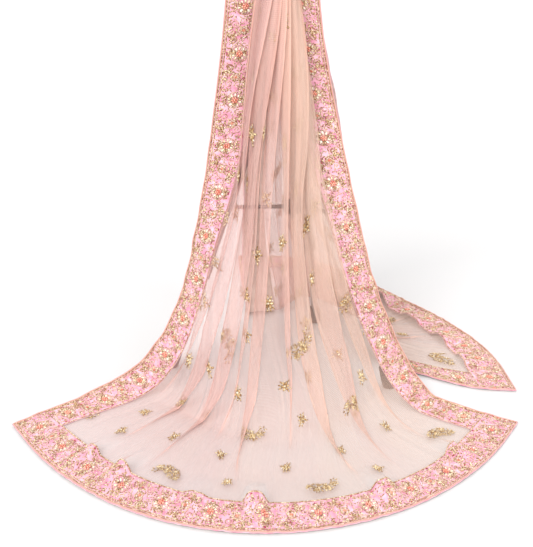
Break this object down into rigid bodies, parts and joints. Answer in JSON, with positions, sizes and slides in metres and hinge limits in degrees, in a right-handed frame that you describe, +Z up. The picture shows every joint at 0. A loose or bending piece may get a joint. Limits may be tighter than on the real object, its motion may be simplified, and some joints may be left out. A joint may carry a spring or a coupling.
{
  "type": "dupatta stole on a plain tripod display stand",
  "caption": "Sheer bordered dupatta gathered over a short bar on a tripod stand, front end fanned out on the floor and back end trailing off behind.",
  "frame": {"origin": "centre of the footprint box, on the floor", "axes": "+Z up, -Y towards the front fall's fanned end, +X to the wearer's view right, where the back fall trails"},
  "size_m": [0.842, 1.0532, 0.9005],
  "materials": {
    "peach_net": "sheer peach net with small scattered gold florets",
    "pink_satin": "pink satin border with raised gold embroidery between gold cords",
    "dark_metal": "dark grey semi-gloss tube",
    "rubber": "matt black rubber foot",
    "bar_padding": "plain knitted cover over a padded bar"
  },
  "bodies": {
    "root": {"back_border_end": "pink_satin", "back_border_left": "pink_satin", "back_border_right": "pink_satin", "back_net": "peach_net", "front_border_end": "pink_satin", "front_border_left": "pink_satin", "front_border_right": "pink_satin", "front_net": "peach_net", "stand_bar": "bar_padding", "stand_collar": "dark_metal", "stand_column": "dark_metal", "stand_foot_back": "rubber", "stand_foot_left": "rubber", "stand_foot_right": "rubber", "stand_leg_back": "dark_metal", "stand_leg_left": "dark_metal", "stand_leg_right": "dark_metal", "stand_rod": "dark_metal", "stand_spreader": "dark_metal", "stand_strut_back": "dark_metal", "stand_strut_left": "dark_metal", "stand_strut_right": "dark_metal"}
  },
  "joints": []
}
